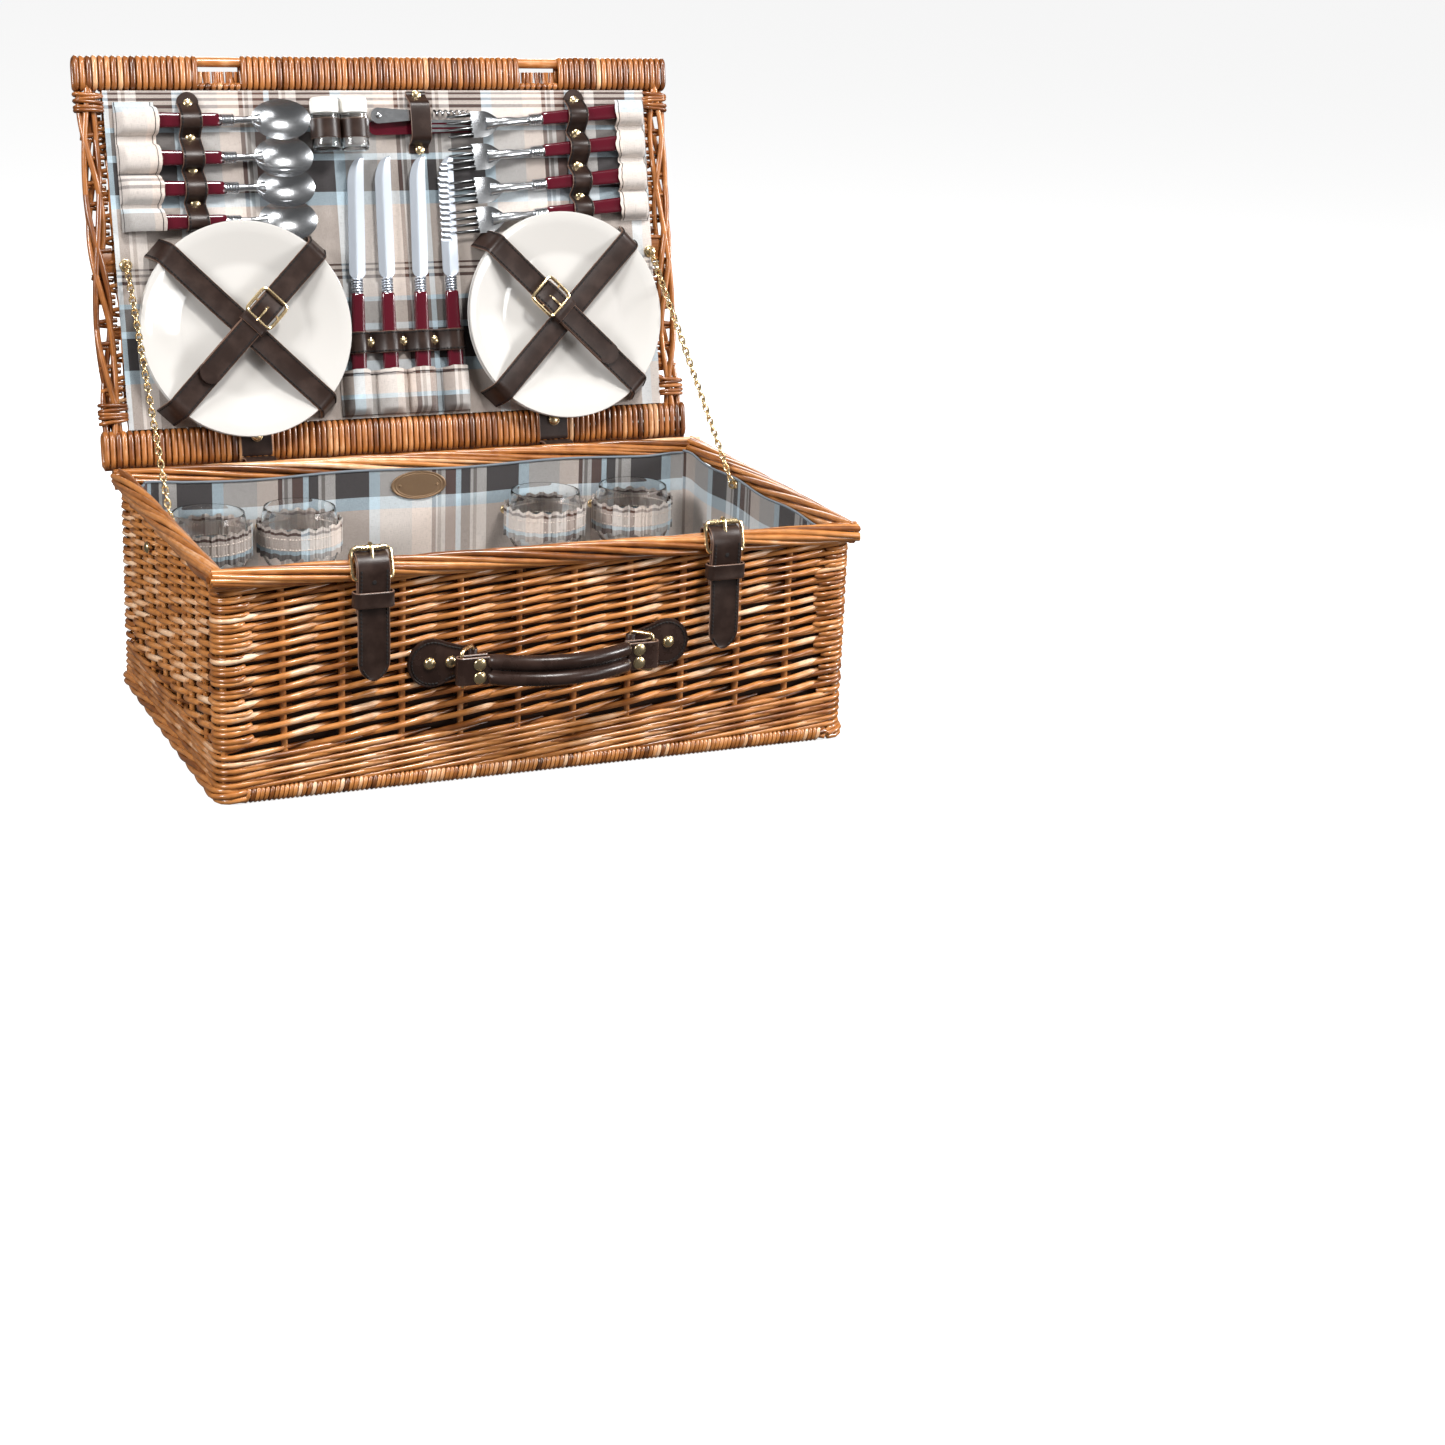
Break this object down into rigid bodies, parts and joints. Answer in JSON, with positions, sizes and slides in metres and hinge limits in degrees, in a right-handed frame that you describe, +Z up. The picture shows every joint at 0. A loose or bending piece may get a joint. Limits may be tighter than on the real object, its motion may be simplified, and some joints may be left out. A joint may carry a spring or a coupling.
{
  "type": "picnic basket",
  "caption": "Lidded wicker picnic hamper, open, fitted with plates, cutlery, glasses and leather straps; for carrying and serving a meal.",
  "frame": {"origin": "centre of the flat underside of the base", "axes": "+X across the front to the right, +Y to the back where the lid is hinged, +Z up"},
  "size_m": [0.56, 0.51, 0.5338],
  "materials": {
    "willow": "buff willow, satin",
    "willow_lid": "buff willow, satin",
    "split_wood": "split wood, matt",
    "plaid_cloth": "woven cotton check, matt",
    "brass": "polished",
    "leather": "smooth dark brown, semi-gloss",
    "clear_glass": "clear",
    "cutlery_steel": "polished",
    "burgundy_plastic": "gloss",
    "china": "glazed",
    "white_plastic": "gloss"
  },
  "bodies": {
    "basket": {"base_panel": "willow", "foot_border": "willow", "front_wall": "willow", "back_wall": "willow", "left_wall": "willow", "right_wall": "willow", "corner_posts": "willow", "rim_border": "willow", "basket_lining": "plaid_cloth", "name_plate": "brass", "wine_glass_1": "clear_glass", "wine_glass_2": "clear_glass", "wine_glass_3": "clear_glass", "wine_glass_4": "clear_glass", "glass_bands": "plaid_cloth", "stay_anchors": "brass", "hinge_rim_straps": "leather", "closure_loops": "leather", "closure_buckles": "brass", "closure_keepers": "leather", "handle_tabs": "leather", "basket_rivets": "brass"},
    "tail_left": {"strap_tail_left": "leather"},
    "tail_right": {"strap_tail_right": "leather"},
    "handle": {"handle_grip": "leather", "handle_end_loops": "leather", "handle_rivets": "brass"},
    "ring_left": {"handle_ring_left": "brass"},
    "ring_right": {"handle_ring_right": "brass"},
    "chain_ul": {"chain_upper_left": "brass"},
    "chain_ur": {"chain_upper_right": "brass"},
    "chain_ll": {"chain_lower_left": "brass"},
    "chain_lr": {"chain_lower_right": "brass"},
    "lid": {"lid_weave": "willow_lid", "lid_front_border": "willow_lid", "lid_rear_border": "willow_lid", "lid_side_sticks": "willow_lid", "lid_slat": "split_wood", "lid_lining": "plaid_cloth", "hinge_lid_straps": "leather", "hinge_studs": "brass", "lid_stay_anchors": "brass", "cutlery_strips": "leather", "strip_rivets": "brass", "cutlery_pockets": "plaid_cloth", "spoons": "cutlery_steel", "spoon_handles": "burgundy_plastic", "forks": "cutlery_steel", "fork_handles": "burgundy_plastic", "knives": "cutlery_steel", "knife_handles": "burgundy_plastic", "plates_left": "china", "plates_right": "china", "plate_straps": "leather", "plate_buckles": "brass", "shaker_jars": "clear_glass", "shaker_caps": "white_plastic", "tool_loops": "leather", "corkscrew_body": "burgundy_plastic", "corkscrew_steel": "cutlery_steel"}
  },
  "joints": [
    {"name": "lid_hinge", "type": "hinge", "parent": "basket", "child": "lid", "pos_m": [0, 0.1806, 0.1822], "axis": [1, 0, 0], "range_deg": [0, 102.4]},
    {"name": "stay_upper_left", "type": "hinge", "parent": "lid", "child": "chain_ul", "pos_m": [-0.253, 0.2358, 0.3574], "axis": [1, 0, 0], "range_deg": [-119.3, 0]},
    {"name": "stay_upper_right", "type": "hinge", "parent": "lid", "child": "chain_ur", "pos_m": [0.253, 0.2358, 0.3574], "axis": [1, 0, 0], "range_deg": [-119.3, 0]},
    {"name": "stay_lower_left", "type": "hinge", "parent": "basket", "child": "chain_ll", "pos_m": [-0.247, 0.042, 0.172], "axis": [1, 0, 0], "range_deg": [0, 152.5]},
    {"name": "stay_lower_right", "type": "hinge", "parent": "basket", "child": "chain_lr", "pos_m": [0.247, 0.042, 0.172], "axis": [1, 0, 0], "range_deg": [0, 152.5]},
    {"name": "handle_pull", "type": "slide", "parent": "basket", "child": "handle", "axis": [0, -1, 0], "range_m": [0, 0.005]},
    {"name": "ring_swivel_left", "type": "hinge", "parent": "basket", "child": "ring_left", "pos_m": [-0.0665, -0.1742, 0.101], "axis": [0, 0, 1], "range_deg": [0, 30]},
    {"name": "ring_swivel_right", "type": "hinge", "parent": "basket", "child": "ring_right", "pos_m": [0.0695, -0.1742, 0.101], "axis": [0, 0, 1], "range_deg": [-30, 0]},
    {"name": "tail_bend_left", "type": "hinge", "parent": "basket", "child": "tail_left", "pos_m": [-0.15, -0.1797, 0.15], "axis": [-1, 0, 0], "range_deg": [0, 70]},
    {"name": "tail_bend_right", "type": "hinge", "parent": "basket", "child": "tail_right", "pos_m": [0.15, -0.1797, 0.15], "axis": [-1, 0, 0], "range_deg": [0, 70]}
  ],
  "couplings": [
    {"joint": "stay_upper_left", "follows": "lid_hinge", "ratio": -1.155},
    {"joint": "stay_upper_right", "follows": "lid_hinge", "ratio": -1.155},
    {"joint": "stay_lower_left", "follows": "lid_hinge", "ratio": 1.48},
    {"joint": "stay_lower_right", "follows": "lid_hinge", "ratio": 1.48},
    {"joint": "ring_swivel_left", "follows": "handle_pull", "rad_per_m": 101.23},
    {"joint": "ring_swivel_right", "follows": "handle_pull", "rad_per_m": -101.23}
  ]
}
